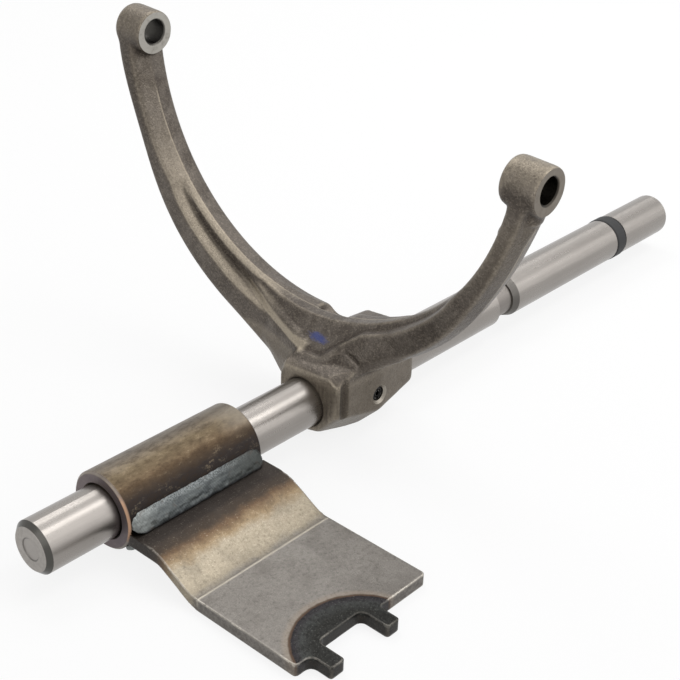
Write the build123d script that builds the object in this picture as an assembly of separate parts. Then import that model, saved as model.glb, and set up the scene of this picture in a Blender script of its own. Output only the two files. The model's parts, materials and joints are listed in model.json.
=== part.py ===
"""Gearbox shift rail with its forged shift fork, driver sleeve and driver plate.

Millimetres, +Z up. The origin is the middle of the near end face of the rail.
X runs along the rail, the driver plate reaches out to -Y and lies flat, and
the fork stands up at +Z. One STEP file is written for each separate piece.
"""
import math
import os

from build123d import *

# Rail
RAIL_R = 10.0
RAIL_LEN = 384.5
NEAR_CHAMFER = 1.8
FAR_CHAMFER = 0.6
CENTRE_R = 4.4
CENTRE_DEPTH = 0.35
STEP_X0, STEP_X1, STEP_X2 = 244.3, 255.6, 259.0
STEP_FLOOR_R = 8.05
STEP_LIP_R = 8.8
RING_X0, RING_X1 = 339.2, 347.2
RING_FLOOR_R = 7.6
FIT = 0.02

# Black ring in its groove
RING_SIDE_GAP = 0.35
RING_OUT_R = 10.3
RING_CROWN = 0.9

# Driver sleeve
SLEEVE_X0, SLEEVE_X1 = 29.8, 92.7
SLEEVE_R = 14.75
SLEEVE_EDGE = 0.8
SLEEVE_BORE_EDGE = 0.7

# Driver plate
PLATE_T = 4.8
PLATE_X0, PLATE_X1 = 29.6, 92.9
PLATE_STUB_TOP = -2.1
PLATE_FLAT_TOP = -10.88
PLATE_OUT_Y = -92.6
PLATE_IN_Y = 3.0 - SLEEVE_R
BEND_TOP_Y = -28.0
BEND_LOW_Y = -44.5
BEND_R = 12.0
PLATE_GAP = 0.25
PLATE_CORNER_R = 1.5

# Jaw at the outer edge of the plate
JAW_X0, JAW_X1 = 42.9, 63.3
JAW_FLOOR_Y = -89.6
PRONG_TIP_Y = -101.3
PRONG_W_NEAR = 6.4
PRONG_W_FAR = 5.9
JAW_CORNER_R = 2.6
PRONG_ROOT_R = 2.8
PRONG_EDGE_R = 1.2

# Weld beads between sleeve and plate
WELD_X0, WELD_X1 = 30.6, 91.4
WELD_GAP = 0.05
# (distance from the end, share of the full section)
WELD_ENDS = [(0.0, 0.35), (1.0, 0.75), (3.0, 1.0)]
WELD_TOP_Z = PLATE_STUB_TOP + WELD_GAP
WELD_TOP = [(-12.0, 2.0), (-14.0, 4.6), (-15.7, 2.9), (-17.2, 0.7), (-18.3, WELD_TOP_Z),
            (-15.0, WELD_TOP_Z), (-12.5, WELD_TOP_Z)]
WELD_LOW_Z = PLATE_STUB_TOP - PLATE_T - WELD_GAP
WELD_LOW = [(-8.0, -9.5), (-12.5, WELD_LOW_Z), (-16.6, WELD_LOW_Z), (-15.6, -8.9), (-13.9, -10.6),
            (-11.6, -11.9), (-9.6, -12.4)]

# Fork: arc, arms and bosses, in the plane across the rail at FORK_X
FORK_X = 152.5
ARC_Y, ARC_Z = 17.4, 121.3
ARC_R = 93.6
ARM_HALF = 8.7
ARM_EDGE, ARM_EDGE_IN = 0.9, 2.4
DRAFT = math.tan(math.radians(11))
WEB_HALF = 3.0
NECK_ANGLE, NECK_R, NECK_DEPTH = 166.5, 9.0, 1.4
BOSS_R = 9.05
BOSS_DROP = 0.5
BOSS_BORE_R = 5.0
BOSS_TILT = 0.047
BOSS_EDGE, BOSS_BACK_R = 0.5, 2.0

# Outer edge of each arm on the parting plane: (angle, radius) about the arc centre
ARM_LEFT = [(2.5, 104.6), (9, 104.4), (17, 103.4), (26, 103.4), (34, 105.3), (41, 107.6), (51, 110.4),
            (60, 112.3), (67, 113.6), (73, 115.0), (79, 118.0), (84, 121.5), (88, 125.0)]
ARM_RIGHT = [(107, 112.2), (112, 111.0), (118, 109.7), (124, 108.5), (128, 107.8), (133, 106.8),
             (137, 105.9), (141, 104.9), (145, 104.0), (150, 103.4), (161, 103.0), (166, 103.4),
             (173, 104.6)]
# Wall of the hollow that leaves the web, at the web
POCKET_WALL = [(36, 91.5), (40, 94.2), (44, 95.9), (49, 97.1), (56, 97.9), (62, 98.5), (67, 99.4),
               (75, 100.3), (81, 101.5), (88, 104.5), (96, 106.5), (101, 103.0), (106, 98.0),
               (112, 96.4), (120, 96.0), (130, 95.6), (138, 94.6), (144, 91.5)]

# Roots of the arms and the roof of the web above the hub: (y, [(half width, z), ...])
ROOT_LEFT = [(9.0, [(16.0, -6.0), (17.5, 8.0), (15.5, 17.0)]),
             (24.0, [(11.0, -1.5), (12.5, 6.0), (11.0, 18.0)]),
             (38.0, [(7.0, 7.5), (8.7, 10.0), (7.5, 22.0)])]
ROOT_RIGHT = [(0.0, [(14.5, 6.0), (16.5, 11.0), (15.0, 17.5)]),
              (-8.0, [(14.0, 9.0), (16.0, 14.0), (12.5, 24.5)]),
              (-16.0, [(12.0, 13.0), (13.0, 19.0), (10.0, 31.0)]),
              (-36.0, [(7.0, 26.5), (8.5, 30.0), (7.0, 38.5)])]
ROOF = [(44.0, [(3.2, 14.0), (3.1, 24.0), (2.6, 33.0)]),
        (10.0, [(13.0, 8.0), (13.0, 17.5), (2.8, 31.0)]),
        (-8.0, [(13.0, 8.0), (13.0, 18.5), (2.8, 34.0)]),
        (-30.0, [(3.2, 25.0), (3.1, 32.0), (2.6, 44.0)])]
# Ridge on the back above the hub: (y, [(x from the parting plane, z), ...])
BACK_RIDGE = [(6.0, [(1.5, 15.0), (10.0, 15.0), (10.0, 23.2), (1.5, 23.2)]),
              (-1.5, [(1.5, 15.0), (13.0, 15.0), (12.5, 28.4), (1.5, 28.4)]),
              (-19.0, [(1.5, 20.0), (9.0, 20.0), (8.6, 32.6), (1.5, 32.6)])]
# Notch in the back of the fork, beside that ridge
NOTCH_X = 0.4
NOTCH = [(14.8, 25.5), (10.5, 22.6), (6.0, 22.8), (-3.5, 29.5), (-3.5, 45.0), (14.8, 45.0)]

# Machined face centres and lengths of the two bosses
LEFT_FACE, LEFT_LEN = (106.8, 117.9), 15.0
RIGHT_FACE, RIGHT_LEN = (-86.9, 109.0), 15.4

# Fork hub on the rail
HUB_HALF = 23.0
HUB_SIDE, HUB_LEFT = 19.8, 18.3
HUB_BOTTOM = PLATE_FLAT_TOP - PLATE_T
HUB_BEVEL = 1.8
HUB_END_SCALE = 0.91
HUB_END_MID = (-2.0, 1.0)
HUB_LEAD = 0.9
HUB_END = [(-18.2, 17.0), (-9.0, 15.9), (11.5, 13.9), (13.6, 8.0), (13.6, -5.0), (6.9, -11.8),
           (-6.9, -11.8), (-18.2, -0.6)]
HUB_MID = [(-HUB_SIDE, 19.0), (-9.0, 23.0), (13.0, 21.0), (HUB_LEFT, 10.0), (HUB_LEFT, -6.5),
           (7.3, -17.5), (-7.3, -17.5), (-HUB_SIDE, -4.95)]

# Spring pins
PIN_OUT_R = 3.0
PIN_OUT_WALL = 1.2
PIN_IN_R = 1.75
PIN_IN_WALL = 0.75
PIN_EDGE = 0.4
PIN_SLIT = 0.28
PIN_MOUTH_R = 4.2
FORK_PIN_Y0, FORK_PIN_LEN = -18.3, 35.0
PIN_Z = 2.0
SLEEVE_PIN_X = 61.0
SLEEVE_PIN_Y0, SLEEVE_PIN_LEN = 1.5, 12.0
SLEEVE_PIN_FLOOR_Y = 1.0


def yz(x):
    """Sketch plane across the rail: sketch x is +Y, sketch y is +Z."""
    return Plane(origin=(x, 0, 0), x_dir=(0, 1, 0), z_dir=(1, 0, 0))


def turned(points):
    """Solid of revolution about the rail axis from (x, radius) points."""
    face = make_face(Polyline([(x, 0, r) for x, r in points], close=True))
    return Solid.revolve(face.faces()[0], 360, Axis.X)


def ring(r_out, r_in, x0, x1):
    """Plain tube about the rail axis."""
    return turned([(x0, r_in), (x1, r_in), (x1, r_out), (x0, r_out)])


def across(r, y0, y1, x, z):
    """Cylinder lying along Y."""
    plane = Plane(origin=(x, y0, z), x_dir=(1, 0, 0), z_dir=(0, 1, 0))
    return extrude(plane * Circle(r), amount=y1 - y0)


def shift_rail():
    r = RAIL_R
    body = turned([
        (0, 0), (0, r - NEAR_CHAMFER), (NEAR_CHAMFER, r),
        (STEP_X0, r), (STEP_X0, STEP_FLOOR_R),
        (STEP_X1, STEP_FLOOR_R), (STEP_X1, STEP_LIP_R), (STEP_X2, r),
        (RING_X0, r), (RING_X0, RING_FLOOR_R), (RING_X1, RING_FLOOR_R), (RING_X1, r),
        (RAIL_LEN - FAR_CHAMFER, r), (RAIL_LEN, r - FAR_CHAMFER), (RAIL_LEN, 0),
    ])
    dish = turned([(0, 0), (CENTRE_DEPTH, 0), (CENTRE_DEPTH, CENTRE_R - 0.5), (0, CENTRE_R)])
    body -= dish
    body -= across(PIN_OUT_R + FIT, -RAIL_R - 1, RAIL_R + 1, FORK_X, PIN_Z)
    body -= across(PIN_OUT_R + FIT, SLEEVE_PIN_FLOOR_Y, RAIL_R + 1, SLEEVE_PIN_X, 0)
    return body


def seal_ring():
    x0, x1 = RING_X0 + RING_SIDE_GAP, RING_X1 - RING_SIDE_GAP
    side_r = RING_OUT_R - RING_CROWN
    body = ring(RING_OUT_R, RING_FLOOR_R + FIT, x0, x1)
    rims = [e for e in body.edges().filter_by(GeomType.CIRCLE) if e.radius > side_r]
    return fillet(rims, RING_CROWN)


def split_pin(r_out, wall, y0, length, x, z, gap_turn):
    """Rolled spring pin along Y with its slit and bevelled ends."""
    r_in = r_out - wall
    pin = across(r_out, y0, y0 + length, x, z)
    pin = chamfer(pin.edges().filter_by(GeomType.CIRCLE), PIN_EDGE)
    pin -= across(r_in, y0 - 1, y0 + length + 1, x, z)
    slit = Box(r_out + 1, length + 2, PIN_SLIT * r_out, align=(Align.MIN, Align.MIN, Align.CENTER))
    slit = Pos(x, y0 - 1, z) * Rot(0, gap_turn, 0) * slit
    return pin - slit


def driver_sleeve():
    e, b, bore = SLEEVE_EDGE, SLEEVE_BORE_EDGE, RAIL_R + FIT
    body = turned([
        (SLEEVE_X0, bore + b), (SLEEVE_X0, SLEEVE_R - e), (SLEEVE_X0 + e, SLEEVE_R),
        (SLEEVE_X1 - e, SLEEVE_R), (SLEEVE_X1, SLEEVE_R - e), (SLEEVE_X1, bore + b),
        (SLEEVE_X1 - b, bore), (SLEEVE_X0 + b, bore),
    ])
    return body - across(PIN_OUT_R + FIT, 0, SLEEVE_R + 1, SLEEVE_PIN_X, 0)


def driver_plate():
    t, zt, zf = PLATE_T, PLATE_STUB_TOP, PLATE_FLAT_TOP
    y_in, y_out = PLATE_IN_Y, PRONG_TIP_Y - 10
    top = [(y_in, zt), (BEND_TOP_Y, zt), (BEND_LOW_Y, zf), (y_out, zf)]
    lean = math.atan2(zt - zf, BEND_TOP_Y - BEND_LOW_Y)
    shift = t * math.tan(lean / 2)
    low = [(y_out, zf - t), (BEND_LOW_Y - shift, zf - t), (BEND_TOP_Y - shift, zt - t), (y_in, zt - t)]
    side = yz(PLATE_X0) * make_face(Polyline(top + low, close=True))
    body = extrude(side, amount=PLATE_X1 - PLATE_X0)
    along = body.edges().filter_by(Axis.X)
    for y, z, r in ((BEND_TOP_Y, zt, BEND_R + t), (BEND_TOP_Y - shift, zt - t, BEND_R),
                    (BEND_LOW_Y, zf, BEND_R), (BEND_LOW_Y - shift, zf - t, BEND_R + t)):
        edge = along.sort_by_distance((PLATE_X0 + 30, y, z))[0]
        body = fillet(body.edges().filter_by(Axis.X).sort_by_distance(edge.center())[0], r)

    # Outline seen from above, with the jaw and its two prongs
    x0, x1, y_e = PLATE_X0, PLATE_X1, PLATE_OUT_Y
    xa, xb = JAW_X0 - PRONG_W_NEAR, JAW_X1 + PRONG_W_FAR
    outline = Polyline([
        (x0, 0), (x1, 0), (x1, y_e), (xb, y_e), (xb, PRONG_TIP_Y), (JAW_X1, PRONG_TIP_Y),
        (JAW_X1, JAW_FLOOR_Y), (JAW_X0, JAW_FLOOR_Y), (JAW_X0, PRONG_TIP_Y),
        (xa, PRONG_TIP_Y), (xa, y_e), (x0, y_e)], close=True)
    shape = make_face(outline)
    spots = [((JAW_X1, JAW_FLOOR_Y), JAW_CORNER_R), ((JAW_X0, JAW_FLOOR_Y), JAW_CORNER_R),
             ((xa, y_e), PRONG_ROOT_R), ((xb, y_e), PRONG_EDGE_R),
             ((x0, y_e), PLATE_CORNER_R), ((x1, y_e), PLATE_CORNER_R)]
    spots += [((x, PRONG_TIP_Y), PRONG_EDGE_R) for x in (xa, JAW_X0, JAW_X1, xb)]
    for (x, y), r in spots:
        corner = shape.vertices().sort_by_distance((x, y, 0))[0]
        shape = fillet(corner, r)
    body &= Pos(0, 0, -40) * extrude(shape, amount=80)
    body -= ring(SLEEVE_R + PLATE_GAP, 0.0, PLATE_X0 - 1, PLATE_X1 + 1)
    return body


def weld_bead(section):
    """Bead along the sleeve: full section between the ends, drawn in at both ends."""
    cy = sum(y for y, z in section) / len(section)
    cz = sum(z for y, z in section) / len(section)
    stations = [(WELD_X0 + dx, share) for dx, share in WELD_ENDS]
    stations += [(WELD_X1 - dx, share) for dx, share in reversed(WELD_ENDS)]
    faces = []
    for x, share in stations:
        points = [(cy + (y - cy) * share, cz + (z - cz) * share) for y, z in section]
        faces.append(yz(x) * make_face(Polyline(points, close=True)))
    return loft(faces, ruled=True) - ring(SLEEVE_R + WELD_GAP, 0.0, WELD_X0 - 1, WELD_X1 + 1)


def polar(angle, r):
    """Point on the fork plane: angle is measured at the arc centre from +Y towards the hub."""
    a = math.radians(angle)
    return (ARC_Y + r * math.cos(a), ARC_Z - r * math.sin(a))


def arm_section(dx, inset):
    """Outline of both arms drawn in by the draft, on the plane dx from the parting plane."""
    r_in = ARC_R + inset
    left = [polar(a, r - inset) for a, r in ARM_LEFT]
    right = [polar(a, r - inset) for a, r in ARM_RIGHT]
    start, end = ARM_LEFT[0][0], ARM_RIGHT[-1][0]
    lines = [
        Spline([Vector(*p) for p in left]),
        Line(left[-1], right[0]),
        Spline([Vector(*p) for p in right]),
        Line(right[-1], polar(end, r_in)),
        ThreePointArc(polar(end, r_in), polar((start + end) / 2, r_in), polar(start, r_in)),
        Line(polar(start, r_in), left[0]),
    ]
    return yz(FORK_X + dx) * make_face(Curve() + lines)


def web_pocket():
    """Hollow in the front of the arms that leaves the thin web along the arc."""
    faces = []
    for dx, shift in ((WEB_HALF, 0.0), (ARM_HALF + 2, (ARM_HALF + 2 - WEB_HALF) * DRAFT)):
        wall = [polar(a, r + shift) for a, r in POCKET_WALL]
        a0, a1, r_in = POCKET_WALL[0][0], POCKET_WALL[-1][0], ARC_R - 8
        outline = Curve() + [
            Spline([Vector(*p) for p in wall]),
            Line(wall[-1], polar(a1, r_in)),
            ThreePointArc(polar(a1, r_in), polar((a0 + a1) / 2, r_in), polar(a0, r_in)),
            Line(polar(a0, r_in), wall[0]),
        ]
        faces.append(yz(FORK_X - dx) * make_face(outline))
    return loft(faces, ruled=True)


def slab(dx, points):
    """Flat outline on the plane dx from the parting plane."""
    return yz(FORK_X + dx) * make_face(Polyline(points, close=True))


def hub_block():
    """Eight-sided hub with forging draft to both ends and bevelled end faces."""
    h = HUB_HALF
    cy, cz = HUB_END_MID
    tip = [(cy + (y - cy) * HUB_END_SCALE, cz + (z - cz) * HUB_END_SCALE) for y, z in HUB_END]
    half = [(-h, tip), (-h + HUB_BEVEL, HUB_END), (0, HUB_MID)]
    other = [(-dx, points) for dx, points in reversed(half[:-1])]
    block = loft([slab(dx, points) for dx, points in half + other], ruled=True)
    floor = Box(4 * h, 4 * h, 2 * h, align=(Align.CENTER, Align.CENTER, Align.MAX))
    return block - Pos(FORK_X, 0, HUB_BOTTOM) * floor


def arm_root(sections):
    """Loft along Y between outlines: three (half width, z) points are mirrored, four stand as given."""
    faces = []
    for y, half in sections:
        pts = half if len(half) == 4 else half + [(-w, z) for w, z in reversed(half)]
        plane = Plane(origin=(FORK_X, y, 0), x_dir=(1, 0, 0), z_dir=(0, -1, 0))
        faces.append(plane * make_face(Polyline(pts, close=True)))
    return loft(faces, ruled=True)


def boss(face, length):
    """Round boss at the end of one arm, its machined face to -Y, and the bore through it."""
    y, z = face
    n = Vector(0, -1, -BOSS_TILT).normalized()
    low = Plane(origin=(FORK_X, y, z - BOSS_DROP), x_dir=(1, 0, 0), z_dir=n)
    body = extrude(low * Circle(BOSS_R), amount=-length)
    back = body.faces().sort_by_distance(low.origin - n * length)[0]
    body = fillet(back.edges(), BOSS_BACK_R)
    front = body.faces().sort_by_distance(low.origin)[0]
    body = chamfer(front.edges(), BOSS_EDGE)
    start = Plane(origin=Vector(FORK_X, y, z) + n * 4, x_dir=(1, 0, 0), z_dir=n)
    return body, extrude(start * Circle(BOSS_BORE_R), amount=-(length + 6))


def shift_fork():
    # Arms: drafted from the parting plane to both faces, with a small edge bevel
    steps = [(0.0, 0.0), (ARM_HALF - ARM_EDGE, (ARM_HALF - ARM_EDGE) * DRAFT), (ARM_HALF, ARM_EDGE_IN)]
    body = loft([arm_section(-dx, inset) for dx, inset in steps], ruled=True)
    body += loft([arm_section(dx, inset) for dx, inset in steps], ruled=True)
    body -= web_pocket()
    neck = polar(NECK_ANGLE, ARC_R + NECK_DEPTH - NECK_R)
    body -= extrude(yz(FORK_X - ARM_HALF - 1) * Pos(*neck) * Circle(NECK_R), amount=2 * ARM_HALF + 2)

    # Roots of the arms and the roof between them, all inside the arc
    across_arc = Plane(origin=(FORK_X - 40, ARC_Y, ARC_Z), x_dir=(0, 1, 0), z_dir=(1, 0, 0))
    roots = hub_block() + arm_root(ROOT_LEFT) + arm_root(ROOT_RIGHT) + arm_root(ROOF)
    body += roots - extrude(across_arc * Circle(ARC_R), amount=80)
    body -= extrude(yz(FORK_X + NOTCH_X) * make_face(Polyline(NOTCH, close=True)), amount=30)
    body += arm_root(BACK_RIDGE) - extrude(across_arc * Circle(ARC_R + 1), amount=80)

    # Bosses at the tips and every bore
    left, left_bore = boss(LEFT_FACE, LEFT_LEN)
    right, right_bore = boss(RIGHT_FACE, RIGHT_LEN)
    body = body + left + right - left_bore - right_bore
    bore = RAIL_R + FIT
    x0, x1 = FORK_X - HUB_HALF, FORK_X + HUB_HALF
    body -= turned([(x0 - 1, 0), (x0 - 1, bore + HUB_LEAD + 1), (x0 + HUB_LEAD, bore),
                    (x1 - HUB_LEAD, bore), (x1 + 1, bore + HUB_LEAD + 1), (x1 + 1, 0)])
    body -= across(PIN_OUT_R + FIT, -HUB_SIDE - 4, HUB_SIDE + 4, FORK_X, PIN_Z)
    for y, inward in ((-HUB_SIDE, 1), (HUB_LEFT, -1)):
        mouth = Plane(origin=(FORK_X, y, PIN_Z), x_dir=(1, 0, 0), z_dir=(0, inward, 0))
        body -= extrude(mouth * Circle(PIN_MOUTH_R), amount=PIN_MOUTH_R - PIN_OUT_R, taper=45)
    return body


def fork_pin(r_out, wall, turn):
    return split_pin(r_out, wall, FORK_PIN_Y0, FORK_PIN_LEN, FORK_X, PIN_Z, turn)


def sleeve_pin(r_out, wall, turn):
    return split_pin(r_out, wall, SLEEVE_PIN_Y0, SLEEVE_PIN_LEN, SLEEVE_PIN_X, 0, turn)


NODES = {
    "shift_rail": shift_rail,
    "seal_ring": seal_ring,
    "driver_sleeve": driver_sleeve,
    "driver_plate": driver_plate,
    "weld_top": lambda: weld_bead(WELD_TOP),
    "weld_bottom": lambda: weld_bead(WELD_LOW),
    "shift_fork": shift_fork,
    "fork_pin_outer": lambda: fork_pin(PIN_OUT_R, PIN_OUT_WALL, 90),
    "fork_pin_inner": lambda: fork_pin(PIN_IN_R, PIN_IN_WALL, -90),
    "sleeve_pin_outer": lambda: sleeve_pin(PIN_OUT_R, PIN_OUT_WALL, 90),
    "sleeve_pin_inner": lambda: sleeve_pin(PIN_IN_R, PIN_IN_WALL, -90),
}

if __name__ == "__main__":
    os.makedirs("parts", exist_ok=True)
    for name, build in NODES.items():
        export_step(build(), f"parts/{name}.step")
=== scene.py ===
"""Looks of the gearbox shift rail: ground rail, forged fork, welded driver sleeve and plate.

The sizes that a user may change are in the property groups below, and each piece or group of
like pieces has its own operator in the sidebar of the 3D view.
"""
import json
import math

import bpy
import numpy as np
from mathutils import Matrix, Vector

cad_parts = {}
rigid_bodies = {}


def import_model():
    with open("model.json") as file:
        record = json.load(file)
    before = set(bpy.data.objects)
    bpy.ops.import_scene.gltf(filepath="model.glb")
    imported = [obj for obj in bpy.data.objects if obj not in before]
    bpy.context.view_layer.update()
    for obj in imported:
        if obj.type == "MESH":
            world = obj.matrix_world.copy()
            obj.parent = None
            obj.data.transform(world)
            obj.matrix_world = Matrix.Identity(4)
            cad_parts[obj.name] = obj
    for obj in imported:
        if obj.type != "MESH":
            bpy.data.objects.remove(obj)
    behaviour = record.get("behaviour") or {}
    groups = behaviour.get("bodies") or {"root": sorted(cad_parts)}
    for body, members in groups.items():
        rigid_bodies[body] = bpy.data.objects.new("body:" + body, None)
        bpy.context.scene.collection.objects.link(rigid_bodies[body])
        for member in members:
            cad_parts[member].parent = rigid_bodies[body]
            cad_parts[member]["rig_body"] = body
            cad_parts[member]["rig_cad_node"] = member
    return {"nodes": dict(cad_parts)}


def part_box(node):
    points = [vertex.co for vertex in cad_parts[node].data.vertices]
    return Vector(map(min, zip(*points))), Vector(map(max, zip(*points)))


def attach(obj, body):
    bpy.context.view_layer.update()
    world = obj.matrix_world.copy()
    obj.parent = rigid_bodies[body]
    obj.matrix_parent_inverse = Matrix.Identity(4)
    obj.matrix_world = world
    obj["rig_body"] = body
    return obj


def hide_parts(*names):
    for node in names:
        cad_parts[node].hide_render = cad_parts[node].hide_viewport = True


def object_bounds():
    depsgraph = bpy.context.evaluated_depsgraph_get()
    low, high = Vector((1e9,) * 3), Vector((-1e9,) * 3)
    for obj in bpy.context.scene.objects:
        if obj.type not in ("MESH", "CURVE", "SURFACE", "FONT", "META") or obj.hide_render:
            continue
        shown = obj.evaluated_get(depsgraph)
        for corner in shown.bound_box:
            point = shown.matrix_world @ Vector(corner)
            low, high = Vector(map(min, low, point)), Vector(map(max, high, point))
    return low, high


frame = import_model()

bl_info = {
    "name": "Gearbox shift rail",
    "version": (1, 0, 0),
    "blender": (4, 5, 0),
    "location": "3D View > Sidebar > Shift rail",
    "description": "Builds the looks of a gearbox shift rail with its forged fork and driver plate",
    "category": "Object",
}

MM = 0.001
CAD_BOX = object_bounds()
RAIL_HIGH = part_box("shift_rail")[1]
PLATE_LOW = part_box("driver_plate")[0]
FORK_LOW, FORK_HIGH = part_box("shift_fork")

# Places and lengths in millimetres. A boss has its outer face as (y, z) and its length.
RAIL_R = RAIL_HIGH.z / MM
FORK_X = (FORK_LOW.x + FORK_HIGH.x) / 2 / MM
FORK_FRONT = FORK_LOW.x / MM
FORK_BACK = FORK_HIGH.x / MM
BOSSES = [((106.8, 117.9), 15.0), ((-86.9, 109.0), 15.4)]
BOSS_TILT = 0.047
BOSS_BORE_R = 5.0
ARC_Y, ARC_Z = 17.4, 121.3
PIN_Z, PIN_HOLE_R, PIN_MOUTH_R = 2, 3.02, 4.1
GROOVE_X = 3.4

# Material that the forging has beyond the CAD fork: rods as radii and the points they join
HEEL = (6.2, 5.6), [(FORK_X, -79.9, 102.5), (FORK_X, -78.4, 97.0), (FORK_X, -73.6, 87.0)]
RIDGE = (2.3, 2.3), [(136.6, 10.5, 14.4), (136.9, -2.0, 15.9), (141.6, -10.5, 22.6)]
SLOPE = (3.2, 3.4, 3.4, 3.2, 2.6), [
    (152.6, 50.0, 29.6), (149.6, 37.9, 23.6), (147.1, 29.7, 21.2), (144.5, 21.2, 19.4),
    (142.1, 13.5, 18.4), (141.0, 8.0, 17.4)]

# Dull stretches of the rail along X beside the ends of the sleeve and of the fork hub: where each starts, is
# full, starts to fade and ends
DULL_SPANS = [(27.0, 29.5, 32.0, 36.0), (92.0, 92.6, 93.2, 94.5), (128.4, 129.4, 130, 131),
          (175, 176, 176.5, 178.0)]
RING_X = 343.2
SLEEVE_X = 30.0, 92.5
BEND_Y = -47.9
JAW_X, JAW_Y = 52, -101


def shade_of(red, green, blue):
    """A colour given as screen values from 0 to 255, as Blender's linear colour."""
    def linear(value):
        value /= 255
        return value / 12.92 if value <= 0.04045 else ((value + 0.055) / 1.055) ** 2.4
    return (linear(red), linear(green), linear(blue))


def colour_of(name, description, red, green, blue):
    """A colour property with its default."""
    return bpy.props.FloatVectorProperty(
        name=name, description=description, subtype="COLOR", size=3, min=0, max=1,
        default=shade_of(red, green, blue))


def length_of(name, description, millimetres, low=0.0, high=400.0):
    """A length property with its default."""
    return bpy.props.FloatProperty(
        name=name, description=description, subtype="DISTANCE", unit="LENGTH",
        min=low * MM, max=high * MM, default=millimetres * MM, precision=5)


class RailLook(bpy.types.PropertyGroup):
    steel: colour_of("Steel", "Colour of the ground steel of the rail", 153, 148, 143)
    shadow_steel: colour_of("Dark steel", "Colour of the duller streaks and of the turned step", 104, 99, 95)
    rubber: colour_of("Rubber", "Colour of the black ring", 24, 24, 25)
    grind_depth: length_of("Grinding marks", "Depth of the grinding marks", 0.02, 0, 1)


class ForkLook(bpy.types.PropertyGroup):
    scale: colour_of("Scale", "Colour of the forging scale", 98, 91, 84)
    # The hollow colour also serves as painted shade on the front faces of the upper left arm and in the front
    # recesses.
    hollow_scale_and_shade: colour_of("Hollows", "Colour of the scale in the hollows", 66, 59, 53)
    # This pale edge colour also lays painted light on the inner walls of the left arm and on the boss tops.
    blasted: colour_of("Blasted edges", "Colour of the shot-blasted edges", 152, 142, 126)
    machined: colour_of("Machined steel", "Colour of the machined faces", 170, 167, 160)
    # The colour of the insides of the boss bores is painted shade.
    bore_shade: colour_of("Oiled steel", "Colour of the dark insides of the bores", 30, 28, 26)
    paint: colour_of("Paint dab", "Colour of the inspection paint", 44, 62, 128)
    grain: length_of("Grain", "Size of the cells that the forging is rebuilt from", 0.68, 0.3, 5)
    blast_depth: length_of("Blast pits", "Depth of the shot-blast pits", 0.12, 0, 1)
    rounding: bpy.props.IntProperty(
        name="Rounding", description="Rounds of smoothing on the forged edges", min=0, max=60, default=14)


class SleeveLook(bpy.types.PropertyGroup):
    steel: colour_of("Tube steel", "Colour of the tube away from the weld", 112, 103, 91)
    straw: colour_of("Straw tint", "Colour of the light heat tint", 100, 88, 70)
    brown: colour_of("Brown tint", "Colour of the dark heat tint", 76, 63, 49)
    black: colour_of("Burnt band", "Colour beside the weld", 46, 42, 41)


class PlateLook(bpy.types.PropertyGroup):
    steel: colour_of("Plate steel", "Colour of the plate away from all heat", 122, 118, 113)
    straw: colour_of("Straw tint", "Colour of the light heat tint", 141, 132, 116)
    brown: colour_of("Brown tint", "Colour of the dark heat tint", 90, 73, 57)
    black: colour_of("Burnt band", "Colour beside the weld", 46, 41, 38)
    hardened: colour_of("Hardened jaw", "Colour of the jaw where it was hardened", 38, 38, 36)
    grain: length_of("Grain", "Size of the cells that the plate is rebuilt from", 0.5, 0.3, 5)
    rounding: bpy.props.IntProperty(
        name="Rounding", description="Rounds of smoothing on the broken edges", min=0, max=60, default=3)


class WeldLook(bpy.types.PropertyGroup):
    metal: colour_of("Weld metal", "Colour of the crests of the weld", 98, 102, 101)
    slag: colour_of("Weld slag", "Colour of the valleys of the weld", 60, 63, 65)
    pitch: length_of("Ripple pitch", "Distance between ripples", 0.95, 0.2, 5)
    ripple: length_of("Ripple height", "Height of the ripples", 0.04, 0, 1)
    lumps: length_of("Lumps", "Height of the unevenness of the beads", 0.7, 0, 3)


class PinLook(bpy.types.PropertyGroup):
    oxide: colour_of("Oxide", "Colour of the black finish of the spring pins", 38, 37, 37)
    worn: colour_of("Worn steel", "Colour of the bright worn rims", 140, 136, 130)


class StageLook(bpy.types.PropertyGroup):
    eye: bpy.props.FloatVectorProperty(
        name="Camera place", description="Where the camera stands", subtype="XYZ", unit="LENGTH",
        size=3, default=(-0.20775589, -0.31513757, 0.28834554), precision=6)
    turn: bpy.props.FloatVectorProperty(
        name="Camera turn", description="How the camera is turned", subtype="EULER", unit="ROTATION",
        size=3, default=tuple(math.radians(a) for a in (60.5706632, -1.71806965, -47.66869012)))
    lens: bpy.props.FloatProperty(
        name="Lens", description="Focal length of the camera in millimetres", min=10, max=300,
        default=73.9774)
    light: bpy.props.FloatProperty(
        name="Light", description="Strength of all the soft lights together", min=0, max=5, default=1)
    sky: bpy.props.FloatProperty(
        name="Room light", description="Strength of the even light of the room", min=0, max=2, default=0.5)
    shadow: bpy.props.FloatProperty(
        name="Shadow", description="How much of the shadow the floor shows", min=0, max=1, default=0.16)


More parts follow.
